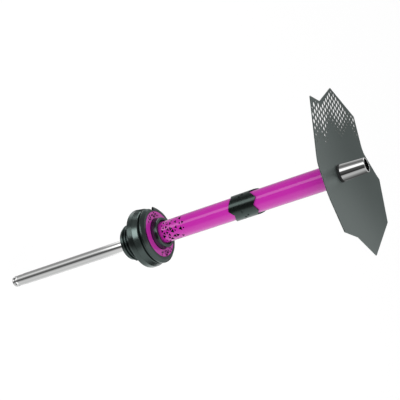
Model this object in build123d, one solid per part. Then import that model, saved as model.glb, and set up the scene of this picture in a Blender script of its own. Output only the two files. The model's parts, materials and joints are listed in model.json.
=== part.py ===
import math
import os

from build123d import *

# Water-pipe stem with a perforated ash tray, in millimetres.
# +Z runs up the stem, from the dip tube to the bowl adapter.
# The origin is on the stem axis, at the flange face that sits on the vase's rim.
# Azimuth 0 is -Y and azimuth 90 is +X. The hose port is at azimuth -90.

# Driving dimensions
SLEEVE_R = 13.0            # coloured sleeve, 26 mm outside
SLEEVE_WALL = 1.5
SLEEVE_FIT_R = 11.45       # pieces that fit inside the sleeve
INNER_TUBE_R = 8.0         # smoke tube inside the sleeve
INNER_TUBE_BORE_R = 6.5
DIP_TUBE_R = 7.3
DIP_TUBE_BORE_R = 6.1
DIP_TUBE_TAIL_R = 6.9      # turned-down end inside the hub
DIP_TIP_Z = -210.0
DIFFUSER_R = 7.0           # a clip or ring for the dip tube slides on over it
DIFFUSER_LENGTH = 17.0
DIFFUSER_HOLE_R = 2.5
THREAD_CREST_R = 22.6
THREAD_ROOT_R = 20.5
THREAD_PITCH = 4.1
THREAD_TURNS = 4
FIRST_CREST_Z = -7.1
SPIGOT_END_Z = -21.4
SPIGOT_BORE_R = 16.5
LOWER_FLANGE_R = 36.4
UPPER_FLANGE_R = 35.1
VALLEY_R = 31.6            # groove between the flanges
FACE_Z = 24.0              # top face of the upper flange
PLATE_R = 28.2             # coloured blow-off plate
PLATE_BORE_R = 19.5
PLATE_THICKNESS = 1.8
COLLAR_R = 19.0
COLLAR_TOP_R = 18.4
COLLAR_TOP_Z = 32.1
SLEEVE_BOTTOM_Z = 21.5
SLEEVE_TOP_Z = 257.0
BAND_R = 14.6
BAND_BORE_R = 13.08
TRAY_TOP_Z = 261.0
TRAY_THICKNESS = 1.0
TRAY_HOLE_R = 10.4
TRAY_WASHER_Z = 258.7      # underside of the washer, on the cap
ADAPTER_ROOT_R = 9.5
ADAPTER_TIP_R = 8.2
ADAPTER_ROOT_Z = 263.4
ADAPTER_TIP_Z = 291.5
ADAPTER_WALL = 1.2


def turned(*points):
    """A solid of revolution about Z from (radius, z) points."""
    outline = Plane.XZ * Polyline(*points, close=True)
    return revolve(make_face(outline), Axis.Z)


def ring(bore_r, outer_r, bottom_z, top_z):
    return turned((bore_r, bottom_z), (outer_r, bottom_z), (outer_r, top_z), (bore_r, top_z))


def o_ring(centre_r, section_r, z):
    return Pos(0, 0, z) * Torus(centre_r, section_r)


def rod(r, bottom_z, top_z):
    return Pos(0, 0, (bottom_z + top_z) / 2) * Cylinder(r, top_z - bottom_z)


def outward(azimuth):
    """Unit vector away from the axis at an azimuth in degrees."""
    angle = math.radians(azimuth)
    return Vector(math.sin(angle), -math.cos(angle), 0)


def radial_plane(azimuth, z, start_r):
    """A plane facing away from the axis, with its own +Y along the stem."""
    direction = outward(azimuth)
    corner = direction * start_r + Vector(0, 0, z)
    return Plane(corner, x_dir=Vector(0, 0, 1).cross(direction), z_dir=direction)


def triangle_cutter(azimuth, z, side, points_up, start_r, depth):
    turn = 90 if points_up else -90
    outline = radial_plane(azimuth, z, start_r) * RegularPolygon(side / math.sqrt(3), 3, rotation=turn)
    return extrude(outline, depth)


def triangle_field_holes(rows, first_z, row_height, sides):
    """Cutters on a field of equal triangles wrapped round the sleeve, 24 columns of 15 degrees.

    Each row is a word of 24 figures, one for each column from azimuth -172.5: 0 leaves the tile
    whole, and the other figures pick the size of its hole.
    """
    cutters = []
    for row, word in enumerate(rows):
        for column, figure in enumerate(word):
            if figure == "0":
                continue
            points_up = (row + column) % 2 == 1
            height = 1 / 3 if points_up else 2 / 3
            z = first_z + (row + height) * row_height
            side = sides[int(figure)]
            cutters.append(triangle_cutter(-172.5 + 15 * column, z, side, points_up, 9.0, 6.0))
    return cutters


# Base: threaded spigot, two flanges with a groove between them, smoke chamber and blow-off gallery

PORT_Z = 13.6              # height of the hose port's axis
PORT_SCOOP_R = 11.3        # round recess for the hose connector's collar, open at the top face
PORT_SCOOP_FLOOR = 30.0
PORT_BUSH_R = 5.6
PORT_BUSH_FLOOR = 27.4
PORT_PASSAGE_R = 3.6
CHAMBER_R = 24.0
CHAMBER_TOP_Z = 13.5
GALLERY_FLOOR_Z = 17.5
GALLERY_R = 26.4
BALL_R = 2.4
BALL_CIRCLE_R = 22.7
BALL_REST_Z = 18.5
BALL_AZIMUTHS = (-30, 30, 90, 150, 210)
HUB_R = 10.5
HUB_BOTTOM_Z = -3.0
DIP_TUBE_TOP_Z = 9.0
plate_bottom = FACE_Z - PLATE_THICKNESS


def thread_ridge(crest_z):
    """One rounded ridge of the coarse vase thread."""
    half = THREAD_PITCH / 2
    return turned(
        (THREAD_ROOT_R - 0.5, crest_z - half + 0.25),
        (THREAD_ROOT_R, crest_z - half + 0.25),
        (THREAD_CREST_R - 0.3, crest_z - 0.75),
        (THREAD_CREST_R, crest_z - 0.4),
        (THREAD_CREST_R, crest_z + 0.4),
        (THREAD_CREST_R - 0.3, crest_z + 0.75),
        (THREAD_ROOT_R, crest_z + half - 0.25),
        (THREAD_ROOT_R - 0.5, crest_z + half - 0.25),
    )


def base_body():
    body = turned(
        (SPIGOT_BORE_R, SPIGOT_END_Z),
        (THREAD_ROOT_R - 0.9, SPIGOT_END_Z),
        (THREAD_ROOT_R, SPIGOT_END_Z + 0.9),
        (THREAD_ROOT_R, 0),
        (LOWER_FLANGE_R - 1.6, 0),
        (LOWER_FLANGE_R - 0.5, 0.7),
        (LOWER_FLANGE_R - 0.5, 1.5),
        (LOWER_FLANGE_R, 1.9),
        (LOWER_FLANGE_R, 8.2),
        (LOWER_FLANGE_R - 0.2, 8.8),
        (LOWER_FLANGE_R - 2.0, 14.6),
        (LOWER_FLANGE_R - 2.6, 15.3),
        (VALLEY_R, 15.3),
        (VALLEY_R, 17.2),
        (UPPER_FLANGE_R - 1.9, 17.2),
        (UPPER_FLANGE_R, 18.9),
        (UPPER_FLANGE_R, 20.3),
        (UPPER_FLANGE_R - 0.5, 20.9),
        (UPPER_FLANGE_R - 2.9, 23.4),
        (UPPER_FLANGE_R - 3.8, FACE_Z),
        (PLATE_R + 0.5, FACE_Z),
        (PLATE_R + 0.5, plate_bottom),
        (GALLERY_R, plate_bottom),
        (GALLERY_R, GALLERY_FLOOR_Z),
        (HUB_R, GALLERY_FLOOR_Z),
        (HUB_R, CHAMBER_TOP_Z),
        (CHAMBER_R - 1.5, CHAMBER_TOP_Z),
        (CHAMBER_R, CHAMBER_TOP_Z - 1.5),
        (CHAMBER_R, 4.0),
        (SPIGOT_BORE_R, 0.5),
    )
    ridges = [thread_ridge(FIRST_CREST_Z - THREAD_PITCH * turn) for turn in range(THREAD_TURNS)]
    seats = []
    for azimuth in BALL_AZIMUTHS:
        place = Pos(outward(azimuth) * BALL_CIRCLE_R)
        seats.append(place * turned((0, 12), (1.5, 12), (1.5, 16.2), (2.8, 17.5), (2.8, 18), (0, 18)))
    facing_out = Plane((-PORT_BUSH_FLOOR, 0, PORT_Z), x_dir=(0, 1, 0), z_dir=(-1, 0, 0))
    scoop = facing_out.offset(PORT_SCOOP_FLOOR - PORT_BUSH_FLOOR) * extrude(Circle(PORT_SCOOP_R), 10)
    bush_seat = facing_out * extrude(Circle(PORT_BUSH_R), 12)
    passage = facing_out * extrude(Circle(PORT_PASSAGE_R), -8)
    return body + ridges - seats - scoop - bush_seat - passage


def port_bush():
    """Threaded bush that the hose connector screws into, with a lead-in at its mouth."""
    length = 5.6
    bush = turned(
        (4.6, 0), (PORT_BUSH_R, 0), (PORT_BUSH_R, length - 0.5), (PORT_BUSH_R - 0.5, length),
        (5.0, length), (4.6, length - 0.4),
    )
    return Plane((-PORT_BUSH_FLOOR, 0, PORT_Z), x_dir=(0, 1, 0), z_dir=(-1, 0, 0)) * bush


def ball_cage():
    cage = ring(COLLAR_R + 0.3, GALLERY_R, GALLERY_FLOOR_Z, GALLERY_FLOOR_Z + 3.2)
    holes = []
    for azimuth in BALL_AZIMUTHS:
        holes.append(Pos(outward(azimuth) * BALL_CIRCLE_R) * rod(BALL_R + 0.35, 15, 25))
        for vent_azimuth in (azimuth - 14, azimuth + 14):
            holes.append(Pos(outward(vent_azimuth) * BALL_CIRCLE_R) * rod(1.3, 19, 25))
    return cage - holes


def purge_plate():
    """Flat ring with two fans of triangular blow-off holes, on opposite sides."""
    plate = ring(PLATE_BORE_R, PLATE_R, plate_bottom, FACE_Z)
    plate = chamfer(plate.edges().filter_by(GeomType.CIRCLE).group_by(Axis.Z)[-1], 0.25)
    pitch = 4.4
    row_height = pitch * math.sqrt(3) / 2
    holes = []
    for row in range(-7, 7):
        for column in range(-14, 15):
            points_up = (row + column) % 2 == 0
            x = column * pitch / 2
            y = (row + (1 / 3 if points_up else 2 / 3)) * row_height
            r = math.hypot(x, y)
            azimuth = math.degrees(math.atan2(x, -y))
            from_fan = min(abs(azimuth - 100), abs(azimuth + 80), abs(azimuth - 280), abs(azimuth + 260))
            spread = 34 + 6 * math.cos(r * 2.1)
            if from_fan > spread or not PLATE_BORE_R + 1.5 < r < PLATE_R - 1.6:
                continue
            if (column * 5 + row * 3) % 7 == 0:
                continue
            side = 3.6 - 0.03 * from_fan + 0.25 * math.sin(column * 2.3 + row)
            turn = 90 if points_up else -90
            hole = Pos(x, y, plate_bottom - 1) * RegularPolygon(side / math.sqrt(3), 3, rotation=turn)
            holes.append(extrude(hole, PLATE_THICKNESS + 2))
    return plate - holes


def hub():
    """Steel centre that the dip tube enters from below and the smoke tube from above."""
    groove_r = DIP_TUBE_TAIL_R + 1.3
    return turned(
        (DIP_TUBE_TAIL_R, HUB_BOTTOM_Z), (9.8, HUB_BOTTOM_Z), (9.8, 10), (13, 10), (13, 13), (HUB_R, 13),
        (HUB_R, 21.3), (INNER_TUBE_R, 21.3), (INNER_TUBE_R, 13), (6.0, 13), (6.0, DIP_TUBE_TOP_Z),
        (DIP_TUBE_TAIL_R, DIP_TUBE_TOP_Z), (DIP_TUBE_TAIL_R, 2.8), (groove_r, 2.8), (groove_r, 1.4),
        (DIP_TUBE_TAIL_R, 1.4),
    )


def collar():
    return turned(
        (HUB_R, GALLERY_FLOOR_Z), (COLLAR_R, GALLERY_FLOOR_Z), (COLLAR_R, 25.4),
        (COLLAR_TOP_R + 0.1, COLLAR_TOP_Z - 1.0), (COLLAR_TOP_R - 0.5, COLLAR_TOP_Z - 0.2),
        (COLLAR_TOP_R - 1.0, COLLAR_TOP_Z), (15.7, COLLAR_TOP_Z), (15.3, COLLAR_TOP_Z - 0.4),
        (15.3, 28.4), (SLEEVE_R, 28.4), (SLEEVE_R, SLEEVE_BOTTOM_Z), (HUB_R, SLEEVE_BOTTOM_Z),
    )


# Stem: smoke tube, sleeve with its field of triangles, spacers and sliding band

SLEEVE_ROWS = (
    "213021201112230121103120",
    "022130101122222301120212",
    "302012001203303011021032",
    "030203010202103010130103",
    "002002003010300200010020",
    "010000000020100000100100",
)
SLEEVE_FIRST_ROW_Z = 33.7
SLEEVE_ROW_HEIGHT = 5.75
SLEEVE_SIDES = (0, 2.6, 3.8, 5.0)


def sleeve():
    tube = ring(SLEEVE_R - SLEEVE_WALL, SLEEVE_R, SLEEVE_BOTTOM_Z, SLEEVE_TOP_Z)
    return tube - triangle_field_holes(SLEEVE_ROWS, SLEEVE_FIRST_ROW_Z, SLEEVE_ROW_HEIGHT, SLEEVE_SIDES)


BAND_LOWER_EDGE = (
    (-150, 132), (-118, 127.4), (-58, 131.6), (5, 126.9), (32, 132.1), (80, 127.6), (125, 132), (170, 127.2),
)
BAND_UPPER_EDGE = (
    (-155, 157), (-112, 163), (-70, 154), (-22, 163.8), (10, 158.6), (45, 161.2), (78, 155), (118, 162.6),
    (165, 155.5),
)
BAND_POCKETS = (
    (-112, 143.5, 5.0, True), (-98, 147, 3.6, False), (-88, 144.5, 3.4, False), (-60, 146, 4.2, False),
    (-50, 142.5, 2.8, True), (22, 143, 5.0, True), (51, 146.8, 3.4, False), (60, 142.6, 3.4, True),
    (78, 139, 2.8, False), (89, 142.4, 3.8, True), (104, 146.5, 3.2, False), (120, 142, 4.4, True),
    (150, 146, 3.2, False), (164, 142.5, 3.8, True), (-166, 146.5, 3.0, False), (-140, 142, 3.4, True),
)
BAND_POCKET_FLOOR = 13.7   # distance of the pockets' flat floors from the axis
BAND_LOWEST = min(z for _, z in BAND_LOWER_EDGE)
BAND_HIGHEST = max(z for _, z in BAND_UPPER_EDGE)
BAND_RING_ZS = (136.0, 151.0)


def edge_wedges(edge, above):
    """Wedges that trim a tube's end to straight facets between (azimuth, z) corners."""
    wedges = []
    reach = 40
    first_azimuth, first_z = edge[0]
    round_again = edge[1:] + ((first_azimuth + 360, first_z),)
    for (azimuth_a, z_a), (azimuth_b, z_b) in zip(edge, round_again):
        side_a = outward(azimuth_a)
        side_b = outward(azimuth_b)
        pie = make_face(Polyline((0, 0, 0), side_a * reach, side_b * reach, close=True))
        wedge = Pos(0, 0, BAND_LOWEST - 10) * extrude(pie, BAND_HIGHEST - BAND_LOWEST + 20)
        corner_a = side_a * BAND_R + Vector(0, 0, z_a)
        corner_b = side_b * BAND_R + Vector(0, 0, z_b)
        middle = outward((azimuth_a + azimuth_b) / 2)
        normal = middle.cross(corner_b - corner_a)
        if normal.Z < 0:
            normal = normal * -1
        keep = Keep.TOP if above else Keep.BOTTOM
        wedges.append(split(wedge, bisect_by=Plane(corner_a, z_dir=normal), keep=keep))
    return wedges


def band():
    """Sliding band with faceted ends, triangular pockets and two inner grooves for its rings."""
    tube = ring(BAND_BORE_R, BAND_R, BAND_LOWEST, BAND_HIGHEST)
    tube -= edge_wedges(BAND_LOWER_EDGE, above=False)
    tube -= edge_wedges(BAND_UPPER_EDGE, above=True)
    for azimuth, z, side, points_up in BAND_POCKETS:
        tube -= triangle_cutter(azimuth, z, side, points_up, BAND_POCKET_FLOOR, 6.0)
    tube -= [ring(BAND_BORE_R - 1, SLEEVE_R + 1.12, z - 0.6, z + 0.6) for z in BAND_RING_ZS]
    return tube


def top_cap():
    """Cap on the sleeve that centres the smoke tube and carries the tray."""
    return turned(
        (INNER_TUBE_R, 247), (SLEEVE_FIT_R, 247), (SLEEVE_FIT_R, SLEEVE_TOP_Z), (14.8, SLEEVE_TOP_Z),
        (14.8, TRAY_WASHER_Z), (TRAY_HOLE_R - 0.1, TRAY_WASHER_Z),
        (TRAY_HOLE_R - 0.1, 260.5), (TRAY_HOLE_R - 0.4, 260.8), (INNER_TUBE_BORE_R, 260.8),
        (INNER_TUBE_BORE_R, 253), (INNER_TUBE_R, 253), (INNER_TUBE_R, 251), (INNER_TUBE_R + 1.3, 251),
        (INNER_TUBE_R + 1.3, 249.6), (INNER_TUBE_R, 249.6),
    )


# Tray: thin sheet with a flat middle, both wings folded gently up, and a perforated left wing

TRAY_CORNERS = (
    (-84, -58), (-78, -30), (-91, 10), (-57.5, 87.5), (-12, 110), (22, 135.5), (71.5, 93), (95.5, 4.5),
    (69, -26), (57.5, -58),
)
LEFT_FOLD_X = -18.0
LEFT_FOLD_SLOPE = 0.225
LEFT_FOLD_R = 60.0
RIGHT_FOLD_X = 18.0
RIGHT_FOLD_SLOPE = 0.1
RIGHT_FOLD_R = 120.0
CELL_STEP_A = (2.79, -6.57)    # steps between neighbouring holes of the honeycomb, in plan
CELL_STEP_B = (3.92, 7.29)
CELL_FIELD_CENTRE = (-60, 15)
CELL_REACH_Y = 4.7             # half length of a whole cell along Y
CELL_OPEN_SHARE = 0.76         # size of a full hole against its cell
CELL_EDGE_ROOM = 2.1
CELL_EDGE_WEB = 0.6
FADE_LINE = (
    (-60, -37), (-56, -37), (-37, -44), (-24, -31), (-4, -55), (13, -45), (36, -37), (49, -42), (65, -47),
    (90, -30), (103, -31),
)


def tray_profile(height):
    """Fold line of the sheet at a height, as seen along Y."""
    reach = 110
    half_left = math.atan(LEFT_FOLD_SLOPE) / 2
    half_right = math.atan(RIGHT_FOLD_SLOPE) / 2
    lift = height - TRAY_TOP_Z
    left_x = LEFT_FOLD_X + lift * math.tan(half_left)
    right_x = RIGHT_FOLD_X - lift * math.tan(half_right)
    points = (
        (-reach, height + (left_x + reach) * LEFT_FOLD_SLOPE), (left_x, height),
        (right_x, height), (reach, height + (reach - right_x) * RIGHT_FOLD_SLOPE),
    )
    radii = (LEFT_FOLD_R - lift, RIGHT_FOLD_R - lift)
    return FilletPolyline(*points, radius=radii)


def fade_x(y):
    """How far in from the tip the holes run, at a place across the wing."""
    for (y_a, x_a), (y_b, x_b) in zip(FADE_LINE, FADE_LINE[1:]):
        if y_a <= y <= y_b:
            return x_a + (x_b - x_a) * (y - y_a) / (y_b - y_a)
    return -200.0


def distance_inside(x, y):
    """Least distance from a point to the tray's outline, negative outside it."""
    nearest = math.inf
    inside = False
    for (x_a, y_a), (x_b, y_b) in zip(TRAY_CORNERS, TRAY_CORNERS[1:] + TRAY_CORNERS[:1]):
        run_x = x_b - x_a
        run_y = y_b - y_a
        along = ((x - x_a) * run_x + (y - y_a) * run_y) / (run_x ** 2 + run_y ** 2)
        along = min(1, max(0, along))
        nearest = min(nearest, math.hypot(x - x_a - along * run_x, y - y_a - along * run_y))
        if (y_a > y) != (y_b > y) and x < run_x * (y - y_a) / run_y + x_a:
            inside = not inside
    return nearest if inside else -nearest


def cell_outline(x, y, share):
    """Six-sided hole that fills a share of its cell."""
    step_a = Vector(*CELL_STEP_A)
    step_b = Vector(*CELL_STEP_B)
    corners = ((step_a * 2 + step_b) / 3, (step_a + step_b * 2) / 3, (step_b - step_a) / 3)
    offsets = [corner * share for corner in corners] + [corner * -share for corner in corners]
    return make_face(Polyline(*[Vector(x, y) + offset for offset in offsets], close=True))


def tray_holes():
    """Honeycomb of holes in the left wing, that shrink towards the fade line."""
    centre_x, centre_y = CELL_FIELD_CENTRE
    holes = []
    for a in range(-16, 17):
        for b in range(-16, 17):
            x = centre_x + a * CELL_STEP_A[0] + b * CELL_STEP_B[0]
            y = centre_y + a * CELL_STEP_A[1] + b * CELL_STEP_B[1]
            depth = fade_x(y) - x
            room = distance_inside(x, y)
            if depth < 0 or room < CELL_EDGE_ROOM:
                continue
            share = min(CELL_OPEN_SHARE, 0.33 + depth * 0.02, (room - CELL_EDGE_WEB) / CELL_REACH_Y)
            holes.append(Pos(0, 0, TRAY_TOP_Z - 5) * extrude(cell_outline(x, y, share), 40))
    return holes


def tray():
    top = tray_profile(TRAY_TOP_Z)
    bottom = tray_profile(TRAY_TOP_Z - TRAY_THICKNESS)
    section = make_face([top, bottom, Line(top @ 0, bottom @ 0), Line(top @ 1, bottom @ 1)])
    sheet = extrude(Plane.XZ * section, 160, both=True)
    outline = Pos(0, 0, TRAY_TOP_Z - 10) * extrude(make_face(Polyline(*TRAY_CORNERS, close=True)), 60)
    plate = sheet & outline
    return plate - tray_holes() - rod(TRAY_HOLE_R, 250, 270)


# Bowl adapter and dip tube

def bowl_adapter():
    """Hollow steel cone with a threaded tail that screws into the cap."""
    mouth_r = ADAPTER_TIP_R - ADAPTER_WALL
    tail_bore_r = 5.2
    return turned(
        (tail_bore_r, 254), (INNER_TUBE_BORE_R, 254), (INNER_TUBE_BORE_R, ADAPTER_ROOT_Z),
        (ADAPTER_ROOT_R, ADAPTER_ROOT_Z), (ADAPTER_TIP_R, ADAPTER_TIP_Z - 0.4),
        (ADAPTER_TIP_R - 0.4, ADAPTER_TIP_Z), (mouth_r + 0.3, ADAPTER_TIP_Z),
        (mouth_r, ADAPTER_TIP_Z - 0.3), (mouth_r, 268), (tail_bore_r, 266),
    )


def dip_tube():
    """Long tube whose upper end is turned down to enter the hub, up to a shoulder."""
    bottom = DIP_TIP_Z + DIFFUSER_LENGTH
    return turned(
        (DIP_TUBE_BORE_R, bottom), (DIP_TUBE_R, bottom), (DIP_TUBE_R, HUB_BOTTOM_Z),
        (DIP_TUBE_TAIL_R, HUB_BOTTOM_Z), (DIP_TUBE_TAIL_R, DIP_TUBE_TOP_Z),
        (DIP_TUBE_BORE_R, DIP_TUBE_TOP_Z),
    )


def diffuser():
    """Drilled end piece pressed into the dip tube, with a rolled lip and six holes."""
    top = DIP_TIP_Z + DIFFUSER_LENGTH
    bore_r = DIP_TUBE_BORE_R - 1.0
    tip = turned(
        (bore_r, DIP_TIP_Z), (DIFFUSER_R - 0.6, DIP_TIP_Z), (DIFFUSER_R, DIP_TIP_Z + 0.6),
        (DIFFUSER_R, DIP_TIP_Z + 1.6), (DIFFUSER_R - 0.35, DIP_TIP_Z + 2.0),
        (DIFFUSER_R - 0.35, DIP_TIP_Z + 2.4), (DIFFUSER_R, DIP_TIP_Z + 2.8), (DIFFUSER_R, top),
        (DIP_TUBE_BORE_R, top), (DIP_TUBE_BORE_R, top + 8), (bore_r, top + 8),
    )
    drills = []
    for azimuth in range(-35, 325, 60):
        drill = radial_plane(azimuth, DIP_TIP_Z + 6, 3.0) * Circle(DIFFUSER_HOLE_R)
        drills.append(extrude(drill, 8))
    return tip - drills


pieces = {
    "base_body": base_body(),
    "port_bush": port_bush(),
    "vase_seal": ring(THREAD_ROOT_R + 0.1, 29.0, -1.8, 0),
    "ball_cage": ball_cage(),
    "purge_plate": purge_plate(),
    "hub": hub(),
    "hub_seal": ring(HUB_R, 13.0, 13.0, CHAMBER_TOP_Z),
    "collar": collar(),
    "collar_ring": o_ring(SLEEVE_R + 1.15, 1.12, 29.6),
    "inner_tube": ring(INNER_TUBE_BORE_R, INNER_TUBE_R, 13, 253),
    "lower_spacer": ring(INNER_TUBE_R, SLEEVE_FIT_R, 76, 82),
    "upper_spacer": ring(INNER_TUBE_R, SLEEVE_FIT_R, 186, 192),
    "sleeve": sleeve(),
    "band": band(),
    "band_lower_ring": o_ring(SLEEVE_R + 0.56, 0.5, BAND_RING_ZS[0]),
    "band_upper_ring": o_ring(SLEEVE_R + 0.56, 0.5, BAND_RING_ZS[1]),
    "top_cap": top_cap(),
    "tray_washer": ring(TRAY_HOLE_R, 17.0, TRAY_WASHER_Z, TRAY_TOP_Z - TRAY_THICKNESS),
    "tray": tray(),
    "adapter_seal": ring(INNER_TUBE_BORE_R, 9.7, 260.8, ADAPTER_ROOT_Z),
    "bowl_adapter": bowl_adapter(),
    "dip_tube": dip_tube(),
    "dip_tube_ring": o_ring(DIP_TUBE_TAIL_R + 0.65, 0.65, 2.1),
    "cap_ring": o_ring(INNER_TUBE_R + 0.65, 0.65, 250.3),
    "diffuser": diffuser(),
}
for number, azimuth in enumerate(BALL_AZIMUTHS, start=1):
    place = outward(azimuth) * BALL_CIRCLE_R + Vector(0, 0, BALL_REST_Z)
    pieces[f"purge_ball_{number}"] = Pos(place) * Sphere(BALL_R)

os.makedirs("parts", exist_ok=True)
for node, shape in pieces.items():
    export_step(shape, f"parts/{node}.step")
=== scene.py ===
import json
import math

import bpy
from mathutils import Matrix, Vector

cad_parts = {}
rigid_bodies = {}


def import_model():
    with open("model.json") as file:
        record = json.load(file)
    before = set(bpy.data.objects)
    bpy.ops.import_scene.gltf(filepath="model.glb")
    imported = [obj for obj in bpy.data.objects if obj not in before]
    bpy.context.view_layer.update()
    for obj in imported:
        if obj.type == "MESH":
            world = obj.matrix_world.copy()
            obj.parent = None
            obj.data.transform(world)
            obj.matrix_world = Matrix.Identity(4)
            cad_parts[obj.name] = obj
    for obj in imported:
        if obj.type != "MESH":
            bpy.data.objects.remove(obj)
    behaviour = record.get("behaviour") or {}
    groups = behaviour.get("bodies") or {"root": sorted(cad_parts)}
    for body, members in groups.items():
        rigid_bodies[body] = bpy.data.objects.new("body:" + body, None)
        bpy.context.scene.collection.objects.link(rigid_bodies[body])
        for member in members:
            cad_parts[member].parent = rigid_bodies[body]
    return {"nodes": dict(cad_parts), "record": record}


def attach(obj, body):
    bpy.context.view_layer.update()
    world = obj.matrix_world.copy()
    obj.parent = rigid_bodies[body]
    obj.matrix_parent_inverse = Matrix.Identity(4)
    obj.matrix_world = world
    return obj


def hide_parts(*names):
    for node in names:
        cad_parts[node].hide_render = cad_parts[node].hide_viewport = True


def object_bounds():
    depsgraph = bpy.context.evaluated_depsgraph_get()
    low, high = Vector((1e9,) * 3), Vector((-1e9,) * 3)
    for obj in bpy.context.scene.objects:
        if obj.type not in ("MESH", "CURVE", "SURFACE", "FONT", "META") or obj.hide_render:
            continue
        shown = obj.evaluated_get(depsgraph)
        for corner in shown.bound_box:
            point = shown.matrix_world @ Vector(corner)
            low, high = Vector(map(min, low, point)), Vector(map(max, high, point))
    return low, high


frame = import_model()
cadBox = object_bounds()
nodes = frame["nodes"]

mm = 0.001
print("frame loaded:", len(nodes), "nodes")


# camera

cameraSettings = {
    "place": (0.0, -0.88071, 0.54550),
    "right": (0.31614703, 0.44231819, 0.83928879),
    "up": (-0.94843864, 0.12618962, 0.29075820),
    "back": (0.02269811, -0.88793626, 0.45940613),
    "lens": 76.5,
    "sensor": 36.0,
}


def addCamera(s):
    bpy.ops.object.camera_add()
    camera = bpy.context.object
    camera.name = "studioCamera"
    turn = Matrix((s["right"], s["up"], s["back"])).transposed().to_4x4()
    camera.matrix_world = Matrix.Translation(s["place"]) @ turn
    camera.data.lens = s["lens"]
    camera.data.sensor_width = s["sensor"]
    camera.data.clip_start = 0.01
    bpy.context.scene.camera = camera


bpy.ops.object.select_all(action="DESELECT")
addCamera(cameraSettings)


# studio: white surround, with soft boxes and dark gaps that only reflections see

studioSettings = {
    "surround": 1.0,
    # each ring of boxes fills a span of heights, as the sine of a reflected ray's climb,
    # and gives its brightness by direction, in degrees from -Y towards +X
    "rings": [
        {
            "span": (-1.0, -0.57),
            "stops": [
                (-180, 0.12), (-152, 0.43), (-102, 0.25), (-72, 0.40), (-56, 0.75),
                (-46, 0.75), (-26, 0.20), (-10, 0.10), (8, 0.10), (18, 0.42),
                (46, 0.66), (86, 0.56), (122, 0.72), (152, 0.90), (170, 0.12),
            ],
        },
        {
            "span": (-0.545, -0.515),
            "stops": [
                (-180, 0.05), (-150, 0.60), (-122, 1.60), (-92, 0.40), (-66, 0.25),
                (-54, 2.0), (-30, 2.0), (-20, 0.10), (12, 0.10), (30, 0.65),
                (70, 0.72), (104, 0.75), (122, 1.20), (152, 1.30), (170, 0.20),
            ],
        },
        {
            "span": (-0.49, -0.33),
            "stops": [
                (-180, 0.20), (-152, 0.55), (-120, 0.30), (-92, 0.15), (-66, 0.05),
                (-50, 0.05), (-46, 0.95), (-24, 0.95), (-20, 0.05), (24, 0.05),
                (40, 0.35), (70, 0.55), (122, 0.95), (152, 0.90), (170, 0.20),
            ],
        },
        {
            "span": (-0.27, -0.13),
            "stops": [
                (-180, 0.10), (-152, 0.62), (-120, 0.32), (-86, 0.10), (-60, 0.38),
                (-52, 1.20), (-28, 1.20), (-20, 0.10), (10, 0.05), (28, 0.02),
                (36, 0.42), (58, 0.50), (86, 0.26), (118, 0.08), (160, 0.08), (172, 0.05),
            ],
        },
        {
            "span": (-0.09, 0.12),
            "stops": [
                (-180, 0.30), (-140, 0.40), (-124, 3.00), (-96, 3.00), (-84, 0.30),
                (-52, 0.30), (-42, 3.20), (-20, 3.20), (-10, 0.20), (20, 0.20),
                (40, 0.65), (120, 0.65), (160, 0.40),
            ],
        },
        {
            "span": (0.26, 1.0),
            "stops": [
                (-180, 0.42), (-150, 0.55), (-120, 0.35), (-96, 0.22), (18, 0.22),
                (36, 0.60), (116, 0.65), (150, 0.40),
            ],
        },
    ],
    "softBox": {"place": (0.3, -1.2, 0.9), "target": (0, 0, 0.05), "size": 0.9, "power": 4},
    "floor": {"size": 30, "drop": 0.05, "paper": 0.985, "roughness": 0.9},
}


def directionRamp(tree, angle, stops):
    ramp = tree.nodes.new("ShaderNodeValToRGB")
    tree.links.new(angle, ramp.inputs["Fac"])
    steps = ramp.color_ramp.elements
    while len(steps) < len(stops):
        steps.new(0.5)
    for step, (degrees, level) in zip(steps, stops):
        step.position = (degrees + 180) / 360
        step.color = (level, level, level, 1)
    return ramp.outputs["Color"]


def addRange(tree, value, start, end, low=0.0, high=1.0):
    span = tree.nodes.new("ShaderNodeMapRange")
    span.inputs["From Min"].default_value = start
    span.inputs["From Max"].default_value = end
    span.inputs["To Min"].default_value = low
    span.inputs["To Max"].default_value = high
    tree.links.new(value, span.inputs["Value"])
    return span


def addMix(tree, value, first, second):
    # the ends are sockets, or plain colours
    mix = tree.nodes.new("ShaderNodeMix")
    mix.data_type = "RGBA"
    for socket, end in ((mix.inputs[6], first), (mix.inputs[7], second)):
        if isinstance(end, tuple):
            socket.default_value = (*end, 1)
        else:
            tree.links.new(end, socket)
    tree.links.new(value, mix.inputs["Factor"])
    return mix.outputs[2]


def stackRings(tree, height, share, rings):
    boxes = directionRamp(tree, share, rings[0]["stops"])
    for lower, upper in zip(rings, rings[1:]):
        ring = directionRamp(tree, share, upper["stops"])
        climb = addRange(tree, height, lower["span"][1], upper["span"][0])
        boxes = addMix(tree, climb.outputs["Result"], boxes, ring)
    return boxes


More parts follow.
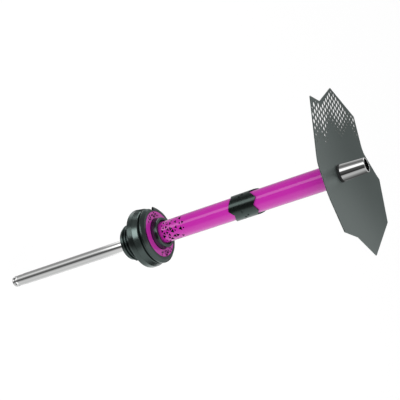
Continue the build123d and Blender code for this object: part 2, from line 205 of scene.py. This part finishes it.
def addSurround(s):
    world = bpy.data.worlds.new("studio")
    bpy.context.scene.world = world
    world.use_nodes = True
    tree = world.node_tree
    tree.nodes.clear()
    link = tree.links.new
    direction = tree.nodes.new("ShaderNodeTexCoord")
    parts = tree.nodes.new("ShaderNodeSeparateXYZ")
    link(direction.outputs["Generated"], parts.inputs["Vector"])
    toward = tree.nodes.new("ShaderNodeMath")
    toward.operation = "MULTIPLY"
    toward.inputs[1].default_value = -1
    link(parts.outputs["Y"], toward.inputs[0])
    turn = tree.nodes.new("ShaderNodeMath")
    turn.operation = "ARCTAN2"
    link(parts.outputs["X"], turn.inputs[0])
    link(toward.outputs[0], turn.inputs[1])
    share = addRange(tree, turn.outputs[0], -math.pi, math.pi).outputs["Result"]
    boxes = stackRings(tree, parts.outputs["Z"], share, s["rings"])
    ray = tree.nodes.new("ShaderNodeLightPath")
    plain = tree.nodes.new("ShaderNodeBackground")
    plain.inputs["Color"].default_value = (1, 1, 1, 1)
    plain.inputs["Strength"].default_value = s["surround"]
    seen = tree.nodes.new("ShaderNodeBackground")
    link(boxes, seen.inputs["Color"])
    mix = tree.nodes.new("ShaderNodeMixShader")
    link(ray.outputs["Is Glossy Ray"], mix.inputs["Fac"])
    link(plain.outputs[0], mix.inputs[1])
    link(seen.outputs[0], mix.inputs[2])
    out = tree.nodes.new("ShaderNodeOutputWorld")
    link(mix.outputs[0], out.inputs["Surface"])


def addSoftBox(s):
    bpy.ops.object.light_add(type="AREA", location=s["place"])
    light = bpy.context.object
    light.name = "sideBox"
    light.data.shape = "RECTANGLE"
    light.data.size = s["size"]
    light.data.size_y = s["size"]
    light.data.energy = s["power"]
    aim = Vector(s["target"]) - Vector(s["place"])
    light.rotation_euler = aim.to_track_quat("-Z", "Y").to_euler()
    light.visible_camera = False
    light.visible_glossy = False


def addFloor(s):
    level = cadBox[0][2] - s["drop"]
    bpy.ops.mesh.primitive_plane_add(size=s["size"], location=(0, 0, level))
    floor = bpy.context.object
    floor.name = "studioFloor"
    paper = bpy.data.materials.new("whitePaper")
    paper.use_nodes = True
    shader = paper.node_tree.nodes["Principled BSDF"]
    shader.inputs["Base Color"].default_value = (s["paper"], s["paper"], s["paper"], 1)
    shader.inputs["Roughness"].default_value = s["roughness"]
    shader.inputs["Specular IOR Level"].default_value = 0.0
    floor.data.materials.append(paper)
    floor.visible_glossy = False


addSurround(studioSettings)
addSoftBox(studioSettings["softBox"])
addFloor(studioSettings["floor"])
bpy.context.scene.view_settings.view_transform = "Standard"
print("camera, light and floor ready")


# materials


# noise scales are per metre, bump depths in metres
finishSettings = {
    "blackAnodised": {
        "stretch": (1, 1, 1), "grain": 2600, "cloud": 60,
        "dark": (0.105, 0.138, 0.130), "light": (0.125, 0.158, 0.150),
        "roughness": (0.15, 0.22), "bump": 0.00002,
        "sockets": {"Metallic": 1.0},
    },
    "magentaAnodised": {
        "stretch": (1, 1, 0.02), "grain": 1500, "cloud": 40,
        "dark": (0.50, 0.020, 0.365), "light": (0.53, 0.024, 0.385),
        "roughness": (0.04, 0.07), "bump": 0.00001,
        "sockets": {"Specular IOR Level": 0.9, "Coat Weight": 0.4, "Coat Roughness": 0.04},
    },
    "polishedSteel": {
        "stretch": (1, 1, 0.01), "grain": 2000,
        "dark": (0.86, 0.87, 0.865), "light": (0.92, 0.92, 0.915),
        "roughness": (0.03, 0.07),
        "sockets": {"Metallic": 1.0},
    },
    "blackSilicone": {
        "stretch": (1, 1, 1), "grain": 1800,
        "dark": (0.010, 0.012, 0.012), "light": (0.020, 0.022, 0.022),
        "bump": 0.00003,
        "sockets": {"Roughness": 0.6},
    },
    "blackAcetal": {
        "stretch": (1, 1, 1), "grain": 900,
        "dark": (0.016, 0.018, 0.018), "light": (0.026, 0.028, 0.028),
        "bump": 0.00002,
        "sockets": {"Roughness": 0.45},
    },
    "bareEdge": {
        "stretch": (1, 1, 1), "grain": 700,
        "dark": (0.09, 0.10, 0.095), "light": (0.14, 0.15, 0.14),
        "sockets": {"Metallic": 0.2, "Roughness": 0.55},
    },
}

sheetSettings = {
    "grain": 420,
    "detail": 3,
    # the colour is painted paler towards the front edge of the plain wing, a painted reflection of the
    # bright surround
    "slant": (0.55, -0.83, 0),
    "reach": (-0.075, 0.075),
    # the plain tone of the sheet, then the paler tone that paints the sheen
    "plainSheetTone": ((0.085, 0.118, 0.110), (0.125, 0.160, 0.152)),
    "thin": ((0.22, 0.265, 0.255), (0.31, 0.355, 0.345)),
    "roughness": (0.36, 0.50),
    "bump": 0.00004,
}


def startMaterial(name):
    material = bpy.data.materials.new(name)
    material.use_nodes = True
    tree = material.node_tree
    return material, tree, tree.nodes["Principled BSDF"]


def addNoise(tree, vector, scale, detail=2):
    noise = tree.nodes.new("ShaderNodeTexNoise")
    noise.inputs["Scale"].default_value = scale
    noise.inputs["Detail"].default_value = detail
    tree.links.new(vector, noise.inputs["Vector"])
    return noise.outputs["Fac"]


def objectPoint(tree, stretch=(1, 1, 1)):
    place = tree.nodes.new("ShaderNodeTexCoord")
    mapping = tree.nodes.new("ShaderNodeMapping")
    mapping.inputs["Scale"].default_value = stretch
    tree.links.new(place.outputs["Object"], mapping.inputs["Vector"])
    return mapping.outputs["Vector"]


def varyRoughness(tree, value, limits, shader):
    rough = addRange(tree, value, 0, 1, *limits)
    tree.links.new(rough.outputs["Result"], shader.inputs["Roughness"])


def addBump(tree, height, depth, shader):
    bump = tree.nodes.new("ShaderNodeBump")
    bump.inputs["Distance"].default_value = depth
    tree.links.new(height, bump.inputs["Height"])
    tree.links.new(bump.outputs["Normal"], shader.inputs["Normal"])


def makeFinish(name, s):
    material, tree, shader = startMaterial(name)
    grain = addNoise(tree, objectPoint(tree, s["stretch"]), s["grain"])
    tint = grain
    if "cloud" in s:
        tint = addNoise(tree, objectPoint(tree), s["cloud"])
    tree.links.new(addMix(tree, tint, s["dark"], s["light"]), shader.inputs["Base Color"])
    if "roughness" in s:
        varyRoughness(tree, grain, s["roughness"], shader)
    if "bump" in s:
        addBump(tree, grain, s["bump"], shader)
    for socket, value in s["sockets"].items():
        shader.inputs[socket].default_value = value
    return material


def makeSheet(s):
    material, tree, shader = startMaterial("graphiteSheet")
    point = objectPoint(tree)
    grain = addNoise(tree, point, s["grain"], s["detail"])
    slant = tree.nodes.new("ShaderNodeVectorMath")
    slant.operation = "DOT_PRODUCT"
    slant.inputs[1].default_value = s["slant"]
    tree.links.new(point, slant.inputs[0])
    reach = addRange(tree, slant.outputs["Value"], *s["reach"])
    reach.interpolation_type = "SMOOTHSTEP"
    plainSheetTone = addMix(tree, grain, *s["plainSheetTone"])
    thin = addMix(tree, grain, *s["thin"])
    # painted sheen: the base colour turns from the plain tone to the paler one towards the front edge
    sheenBlend = addMix(tree, reach.outputs["Result"], plainSheetTone, thin)
    tree.links.new(sheenBlend, shader.inputs["Base Color"])
    varyRoughness(tree, grain, s["roughness"], shader)
    addBump(tree, grain, s["bump"], shader)
    shader.inputs["Metallic"].default_value = 1.0
    return material


coats = {name: makeFinish(name, row) for name, row in finishSettings.items()}
finishes = {
    "black_anodised": coats["blackAnodised"],
    "magenta_anodised": coats["magentaAnodised"],
    "graphite_sheet": makeSheet(sheetSettings),
    "polished_steel": coats["polishedSteel"],
    "black_silicone": coats["blackSilicone"],
    "black_acetal": coats["blackAcetal"],
}
slotOf = {row["node"]: row["material_slot"] for row in frame["record"]["subparts"]}
for name, node in nodes.items():
    node.data.materials.clear()
    node.data.materials.append(finishes[slotOf[name]])
print("materials ready")


# shared modelling steps


def freshPoint(name):
    bpy.ops.object.select_all(action="DESELECT")
    bpy.ops.mesh.primitive_plane_add(size=mm)
    piece = bpy.context.object
    piece.name = name
    bpy.ops.object.mode_set(mode="EDIT")
    bpy.ops.mesh.select_mode(type="VERT")
    bpy.ops.mesh.select_all(action="SELECT")
    bpy.ops.mesh.merge(type="CENTER")
    return piece


def drawLoop(points):
    # points are (radius, z) in millimetres, drawn in the plane of X and Z and closed
    x, z = points[0]
    bpy.ops.transform.translate(value=(x * mm, 0, z * mm))
    for nextX, nextZ in list(points[1:]) + [points[0]]:
        step = ((nextX - x) * mm, 0, (nextZ - z) * mm)
        bpy.ops.mesh.extrude_vertices_move(TRANSFORM_OT_translate={"value": step})
        x, z = nextX, nextZ
    bpy.ops.mesh.select_all(action="SELECT")
    bpy.ops.mesh.remove_doubles(threshold=0.01 * mm)


def roundStem(azimuth, radius, z):
    # a place round the stem, with azimuth 0 towards -Y and 90 towards +X
    angle = math.radians(azimuth)
    return (math.sin(angle) * radius * mm, -math.cos(angle) * radius * mm, z * mm)


def turnPiece(name, points, steps):
    piece = freshPoint(name)
    drawLoop(points)
    bpy.ops.mesh.spin(steps=steps, angle=2 * math.pi, center=(0, 0, 0), axis=(0, 0, 1))
    bpy.ops.mesh.select_all(action="SELECT")
    bpy.ops.mesh.remove_doubles(threshold=0.002 * mm)
    bpy.ops.mesh.normals_make_consistent(inside=False)
    bpy.ops.object.mode_set(mode="OBJECT")
    return piece


def screwRidge(name, points, pitch, turns, steps):
    ridge = freshPoint(name)
    drawLoop(points)
    bpy.ops.object.mode_set(mode="OBJECT")
    bpy.ops.object.modifier_add(type="SCREW")
    screw = ridge.modifiers[-1]
    screw.angle = 2 * math.pi * turns
    screw.screw_offset = pitch * turns * mm
    screw.steps = int(steps * turns)
    screw.render_steps = int(steps * turns)
    screw.use_merge_vertices = False
    bpy.ops.object.modifier_apply(modifier=screw.name)
    bpy.ops.object.mode_set(mode="EDIT")
    bpy.ops.mesh.select_all(action="SELECT")
    bpy.ops.mesh.fill_holes(sides=0)
    bpy.ops.mesh.select_all(action="SELECT")
    bpy.ops.mesh.normals_make_consistent(inside=False)
    bpy.ops.object.mode_set(mode="OBJECT")
    return ridge


def cutAway(piece, cutter):
    bpy.ops.object.select_all(action="DESELECT")
    bpy.context.view_layer.objects.active = piece
    piece.select_set(True)
    bpy.ops.object.modifier_add(type="BOOLEAN")
    cut = piece.modifiers[-1]
    cut.operation = "DIFFERENCE"
    cut.solver = "EXACT"
    cut.object = cutter
    bpy.ops.object.modifier_apply(modifier=cut.name)
    bpy.data.objects.remove(cutter)


def joinInto(piece, other):
    bpy.ops.object.select_all(action="DESELECT")
    other.select_set(True)
    piece.select_set(True)
    bpy.context.view_layer.objects.active = piece
    bpy.ops.object.join()


def softenEdges(piece, width, sharp=30, segments=2):
    bpy.ops.object.select_all(action="DESELECT")
    piece.select_set(True)
    bpy.context.view_layer.objects.active = piece
    bpy.ops.object.modifier_add(type="BEVEL")
    bevel = piece.modifiers[-1]
    bevel.width = width * mm
    bevel.segments = segments
    bevel.limit_method = "ANGLE"
    bevel.angle_limit = math.radians(sharp)
    bevel.harden_normals = False
    bpy.ops.object.modifier_apply(modifier=bevel.name)
    bpy.ops.object.shade_smooth_by_angle(angle=math.radians(sharp))
    bpy.ops.object.modifier_add(type="WEIGHTED_NORMAL")
    level = piece.modifiers[-1]
    level.mode = "FACE_AREA"
    level.weight = 100
    level.keep_sharp = True
    bpy.ops.object.modifier_apply(modifier=level.name)


def settle(piece, body, finish, *replaced):
    if not piece.data.materials:
        piece.data.materials.append(finishes[finish])
    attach(piece, body)
    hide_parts(*replaced)


def copyNode(node, name):
    bpy.ops.object.select_all(action="DESELECT")
    source = nodes[node]
    source.select_set(True)
    bpy.context.view_layer.objects.active = source
    bpy.ops.object.duplicate()
    piece = bpy.context.object
    bpy.ops.object.parent_clear(type="CLEAR_KEEP_TRANSFORM")
    piece.name = name
    bpy.ops.object.transform_apply(location=True, rotation=True, scale=True)
    bpy.ops.object.mode_set(mode="EDIT")
    bpy.ops.mesh.select_all(action="SELECT")
    bpy.ops.mesh.customdata_custom_splitnormals_clear()
    bpy.ops.mesh.remove_doubles(threshold=0.002 * mm)
    bpy.ops.mesh.dissolve_limited(angle_limit=math.radians(0.4))
    bpy.ops.mesh.normals_make_consistent(inside=False)
    bpy.ops.object.mode_set(mode="OBJECT")
    return piece


# base: spigot with its helical thread, two flanges, port recess and ball seats

baseSettings = {
    "profile": [
        (16.5, -21.4), (19.6, -21.4), (20.5, -20.5), (20.5, 0), (34.6, 0), (35.0, 0.1),
        (35.8, 0.6), (35.9, 0.9), (35.9, 1.5), (36.2, 1.6), (36.4, 1.9), (36.4, 8.0),
        (36.3, 8.6), (36.0, 9.3), (34.5, 14.3), (34.2, 14.9), (33.8, 15.3), (31.6, 15.3),
        (31.6, 17.2), (33.1, 17.2), (33.4, 17.3), (34.9, 18.6), (35.1, 19.0), (35.1, 20.2),
        (35.0, 20.6), (34.6, 20.9), (32.3, 23.3), (31.8, 23.8), (31.3, 24.0), (28.9, 24.0),
        (28.7, 23.8), (28.7, 22.2), (26.4, 22.2), (26.4, 17.5), (10.5, 17.5), (10.5, 13.5),
        (22.5, 13.5), (24.0, 12.0), (24.0, 4.0), (16.7, 0.6), (16.5, 0.2),
    ],
    "steps": 160,
    "threadLoop": [
        (20.0, -1.6), (20.5, -1.45), (22.2, -0.65), (22.48, -0.42), (22.6, -0.15),
        (22.6, 0.15), (22.48, 0.42), (22.2, 0.65), (20.5, 1.45), (20.0, 1.6),
    ],
    "pitch": 4.1,
    "threadTurns": 3.6,
    "threadStart": -19.3,
    "threadSteps": 96,
    "ballAzimuths": (-30, 30, 90, 150, 210),
    "ballCircle": 22.7,
    "seatProfile": [(0.01, 12), (1.5, 12), (1.5, 16.2), (2.8, 17.5), (2.8, 18), (0.01, 18)],
    "portHeight": 13.6,
    # radius, inner end and outer end of each bore of the port, along -X
    "portCuts": [(11.3, 30.0, 41.4), (5.6, 27.4, 39.4), (3.6, 19.4, 27.6)],
    "portSides": 96,
    "seatSteps": 32,
    "bevel": 0.18,
    "threadSharp": 50,
}


def portCutter(radius, start, end, height, sides):
    bpy.ops.object.select_all(action="DESELECT")
    bpy.ops.mesh.primitive_cylinder_add(
        vertices=sides, radius=radius * mm, depth=(end - start) * mm,
        location=(-(start + end) / 2 * mm, 0, height * mm), rotation=(0, math.pi / 2, 0),
    )
    return bpy.context.object


def buildBase(s):
    body = turnPiece("baseBody", s["profile"], s["steps"])
    for azimuth in s["ballAzimuths"]:
        seat = turnPiece("seatCutter", s["seatProfile"], s["seatSteps"])
        seat.location = roundStem(azimuth, s["ballCircle"], 0)
        cutAway(body, seat)
    for radius, start, end in s["portCuts"]:
        cutter = portCutter(radius, start, end, s["portHeight"], s["portSides"])
        cutAway(body, cutter)
    softenEdges(body, s["bevel"])
    loop = [(r, z + s["threadStart"]) for r, z in s["threadLoop"]]
    ridge = screwRidge("threadRidge", loop, s["pitch"], s["threadTurns"], s["threadSteps"])
    bpy.ops.object.select_all(action="DESELECT")
    ridge.select_set(True)
    bpy.context.view_layer.objects.active = ridge
    bpy.ops.object.shade_smooth_by_angle(angle=math.radians(s["threadSharp"]))
    joinInto(body, ridge)
    settle(body, "stem", "black_anodised", "base_body")


buildBase(baseSettings)
print("base ready")


# hose port bush with its inner thread

bushSettings = {
    "profile": [(4.6, 0.0), (5.6, 0.0), (5.6, 5.0), (5.5, 5.4), (5.1, 5.6), (5.0, 5.6), (4.6, 5.2)],
    "ridge": [(4.65, -0.3), (4.65, 0.3), (4.45, 0.08), (4.45, -0.08)],
    "pitch": 0.8,
    "turns": 5,
    "start": 0.7,
    "steps": 96,
    "threadSteps": 48,
    "bevel": 0.08,
    "floor": 27.4,
    "height": 13.6,
}


def buildBush(s):
    bush = turnPiece("portBush", s["profile"], s["steps"])
    softenEdges(bush, s["bevel"])
    loop = [(r, z + s["start"]) for r, z in s["ridge"]]
    ridge = screwRidge("bushThread", loop, s["pitch"], s["turns"], s["threadSteps"])
    joinInto(bush, ridge)
    bush.rotation_euler = (0, -math.pi / 2, 0)
    bush.location = (-s["floor"] * mm, 0, s["height"] * mm)
    bpy.ops.object.transform_apply(location=True, rotation=True, scale=True)
    settle(bush, "stem", "black_anodised", "port_bush")


buildBush(bushSettings)
print("port bush ready")


# collar that the sleeve stands in

collarSettings = {
    "profile": [
        (10.5, 17.5), (19.0, 17.5), (19.0, 25.2), (18.95, 25.7), (18.5, 30.9), (18.4, 31.3),
        (18.1, 31.7), (17.7, 32.0), (17.3, 32.1), (15.9, 32.1), (15.5, 32.0), (15.3, 31.7),
        (15.3, 28.4), (13.0, 28.4), (13.0, 21.5), (10.5, 21.5),
    ],
    "steps": 128,
    "bevel": 0.1,
}


def buildCollar(s):
    collar = turnPiece("collarRing", s["profile"], s["steps"])
    softenEdges(collar, s["bevel"])
    settle(collar, "stem", "black_anodised", "collar")


buildCollar(collarSettings)
print("collar ready")


# sleeve: a band of equal triangles, some of them opened, between two plain lengths of tube

sleeveSettings = {
    "radius": 13.0,
    "wall": 1.5,
    "columns": 24,
    "bottom": 21.5,
    "fieldBottom": 33.7,
    "rowHeight": 5.75,
    "top": 257.0,
    # each ring of corners is turned by one column from the ring below
    "firstTurn": 7.5,
    "turn": 15.0,
    # how far each tile is opened: 0 stays closed, 1 is small, 3 is large
    "rows": [
        "213021201112230121103120",
        "022130101122222301120212",
        "302012001203303011021032",
        "030203010202103010130103",
        "002002003010300200010020",
        "010000000020100000100100",
    ],
    "rims": {"1": 1.17, "2": 0.82, "3": 0.47},
    "cuts": 4,
    "bevel": 0.1,
    "sharp": 40,
    # the second finish paints shade inside the tube and on the cut edges
    "finishes": ("magenta_anodised", "black_acetal"),
}


def liftRing(height, turn):
    bpy.ops.mesh.extrude_edges_move(TRANSFORM_OT_translate={"value": (0, 0, height * mm)})
    if turn:
        angle = -math.radians(turn)
        bpy.ops.transform.rotate(value=angle, orient_axis="Z", center_override=(0, 0, 0))


def tileSize(polygon, s):
    centre = polygon.center / mm
    row = math.floor((centre.z - s["fieldBottom"]) / s["rowHeight"])
    if not 0 <= row < len(s["rows"]):
        return "0"
    azimuth = math.degrees(math.atan2(centre.x, -centre.y))
    firstAzimuth = s["turn"] / 2 - 180
    return s["rows"][row][round((azimuth - firstAzimuth) / s["turn"]) % s["columns"]]


def openTiles(piece, size, s):
    bpy.ops.object.mode_set(mode="EDIT")
    bpy.ops.mesh.select_all(action="DESELECT")
    bpy.ops.object.mode_set(mode="OBJECT")
    for polygon in piece.data.polygons:
        polygon.select = len(polygon.vertices) == 3 and tileSize(polygon, s) == size
    bpy.ops.object.mode_set(mode="EDIT")
    bpy.ops.mesh.inset(thickness=s["rims"][size] * mm, use_individual=True)
    bpy.ops.mesh.delete(type="FACE")
    bpy.ops.object.mode_set(mode="OBJECT")


def drawTiles(s):
    fieldTop = s["fieldBottom"] + len(s["rows"]) * s["rowHeight"]
    bpy.ops.object.select_all(action="DESELECT")
    bpy.ops.mesh.primitive_circle_add(
        vertices=s["columns"] // 2, radius=s["radius"] * mm,
        location=(0, 0, s["bottom"] * mm), rotation=(0, 0, math.radians(s["firstTurn"])),
    )
    sleeve = bpy.context.object
    sleeve.name = "sleeveTube"
    bpy.ops.object.transform_apply(location=True, rotation=True, scale=True)
    bpy.ops.object.mode_set(mode="EDIT")
    bpy.ops.mesh.select_mode(type="EDGE")
    bpy.ops.mesh.select_all(action="SELECT")
    liftRing(s["fieldBottom"] - s["bottom"], 0)
    for _ in s["rows"]:
        liftRing(s["rowHeight"], s["turn"])
    liftRing(s["top"] - fieldTop, 0)
    bpy.ops.mesh.select_mode(type="FACE")
    bpy.ops.object.mode_set(mode="OBJECT")
    for polygon in sleeve.data.polygons:
        polygon.select = s["fieldBottom"] < polygon.center.z / mm < fieldTop
    bpy.ops.object.mode_set(mode="EDIT")
    bpy.ops.mesh.quads_convert_to_tris(quad_method="SHORTEST_DIAGONAL")
    bpy.ops.mesh.select_all(action="SELECT")
    bpy.ops.mesh.normals_make_consistent(inside=False)
    bpy.ops.object.mode_set(mode="OBJECT")
    return sleeve


def roundOff(sleeve, s):
    bpy.ops.object.mode_set(mode="EDIT")
    bpy.ops.mesh.select_all(action="SELECT")
    bpy.ops.mesh.subdivide(number_cuts=s["cuts"])
    bpy.ops.object.mode_set(mode="OBJECT")
    bpy.ops.object.modifier_add(type="CAST")
    cast = sleeve.modifiers[-1]
    cast.cast_type = "CYLINDER"
    cast.use_z = False
    cast.factor = 1.0
    cast.use_radius_as_size = False
    cast.size = s["radius"] * mm
    bpy.ops.object.modifier_apply(modifier=cast.name)


def thicken(sleeve, s):
    # the second finish, black acetal, goes on the inside and on the cut edges as painted shade, so the
    # openings read dark
    for finish in s["finishes"]:
        sleeve.data.materials.append(finishes[finish])
    bpy.ops.object.modifier_add(type="SOLIDIFY")
    wall = sleeve.modifiers[-1]
    wall.thickness = s["wall"] * mm
    wall.offset = -1
    wall.material_offset = 1
    wall.material_offset_rim = 1
    bpy.ops.object.modifier_apply(modifier=wall.name)


def buildSleeve(s):
    sleeve = drawTiles(s)
    for size in s["rims"]:
        openTiles(sleeve, size, s)
    roundOff(sleeve, s)
    thicken(sleeve, s)
    softenEdges(sleeve, s["bevel"], sharp=s["sharp"])
    settle(sleeve, "stem", s["finishes"][0], "sleeve")


buildSleeve(sleeveSettings)
print("sleeve ready")


# turned steel: dip tube, diffuser and bowl adapter

steelSettings = {
    "pieces": {
        "dipTube": {
            "node": "dip_tube",
            "bevel": 0.05,
            "profile": [
                (6.1, -193.0), (7.15, -193.0), (7.3, -192.8), (7.3, -3.0), (6.9, -3.0),
                (6.9, 8.8), (6.7, 9.0), (6.1, 9.0),
            ],
        },
        "diffuserTip": {
            "node": "diffuser",
            "bevel": 0.12,
            "drills": (-35, 25, 85, 145, 205, 265),
            "profile": [
                (5.1, -209.7), (5.3, -210.0), (6.3, -210.0), (6.7, -209.85), (6.95, -209.5),
                (7.0, -209.2), (7.0, -208.6), (6.85, -208.2), (6.65, -208.0), (6.65, -207.6),
                (6.85, -207.35), (7.0, -207.1), (7.0, -193.2), (6.9, -193.0), (6.1, -193.0),
                (6.1, -185.3), (5.9, -185.0), (5.1, -185.0),
            ],
        },
        "bowlAdapter": {
            "node": "bowl_adapter",
            "bevel": 0.08,
            "profile": [
                (5.2, 254.0), (6.5, 254.0), (6.5, 263.4), (9.3, 263.4), (9.5, 263.6),
                (8.22, 290.9), (8.15, 291.2), (8.0, 291.4), (7.8, 291.5), (7.3, 291.5),
                (7.1, 291.4), (7.0, 291.2), (7.0, 268.0), (5.2, 266.0),
            ],
        },
    },
    "steps": 128,
    "drill": {"radius": 2.5, "depth": 8, "sides": 48, "circle": 7, "height": -204.0},
}


def drillHole(piece, azimuth, s):
    bpy.ops.object.select_all(action="DESELECT")
    bpy.ops.mesh.primitive_cylinder_add(
        vertices=s["sides"], radius=s["radius"] * mm, depth=s["depth"] * mm,
        location=roundStem(azimuth, s["circle"], s["height"]),
        rotation=(math.pi / 2, 0, math.radians(azimuth)),
    )
    cutAway(piece, bpy.context.object)


def buildSteel(s):
    for name, row in s["pieces"].items():
        piece = turnPiece(name, row["profile"], s["steps"])
        for azimuth in row.get("drills", ()):
            drillHole(piece, azimuth, s["drill"])
        softenEdges(piece, row["bevel"])
        settle(piece, "stem", "polished_steel", row["node"])


buildSteel(steelSettings)
print("steel tubes ready")


# pieces that keep the outline of their node and gain soft edges

softSettings = {
    "plateRing": {"node": "purge_plate", "body": "purge_plate", "finish": "magenta_anodised", "bevel": 0.12},
    "slidingBand": {"node": "band", "body": "band", "finish": "black_anodised", "bevel": 0.16},
    "capPiece": {"node": "top_cap", "body": "stem", "finish": "black_anodised", "bevel": 0.15},
    "foldedTray": {"node": "tray", "body": "tray", "finish": "graphite_sheet", "bevel": 0.16},
}

# where the faces of holes lie: beyond this x on the tray, between these radii on the ring
holeSettings = {"upright": 0.5, "trayX": -20, "ringRadii": (20.6, 27.6)}


def buildSoft(name, s):
    piece = copyNode(s["node"], name)
    softenEdges(piece, s["bevel"], segments=1)
    settle(piece, s["body"], s["finish"], s["node"])
    return piece


def recolour(piece, finish, chosen):
    piece.data.materials.append(finish)
    for polygon in piece.data.polygons:
        upright = abs(polygon.normal.z) < holeSettings["upright"]
        if upright and chosen(polygon.center / mm):
            polygon.material_index = 1


def inTrayHole(centre):
    return centre.x < holeSettings["trayX"]


def inRingHole(centre):
    inner, outer = holeSettings["ringRadii"]
    return inner < math.hypot(centre.x, centre.y) < outer


softPieces = {name: buildSoft(name, row) for name, row in softSettings.items()}
recolour(softPieces["foldedTray"], coats["bareEdge"], inTrayHole)
# the walls of the ring's holes get black acetal as painted shade, so the holes read dark
recolour(softPieces["plateRing"], finishes["black_acetal"], inRingHole)
softPieces["foldedTray"].visible_glossy = False
print("soft-edged pieces ready")
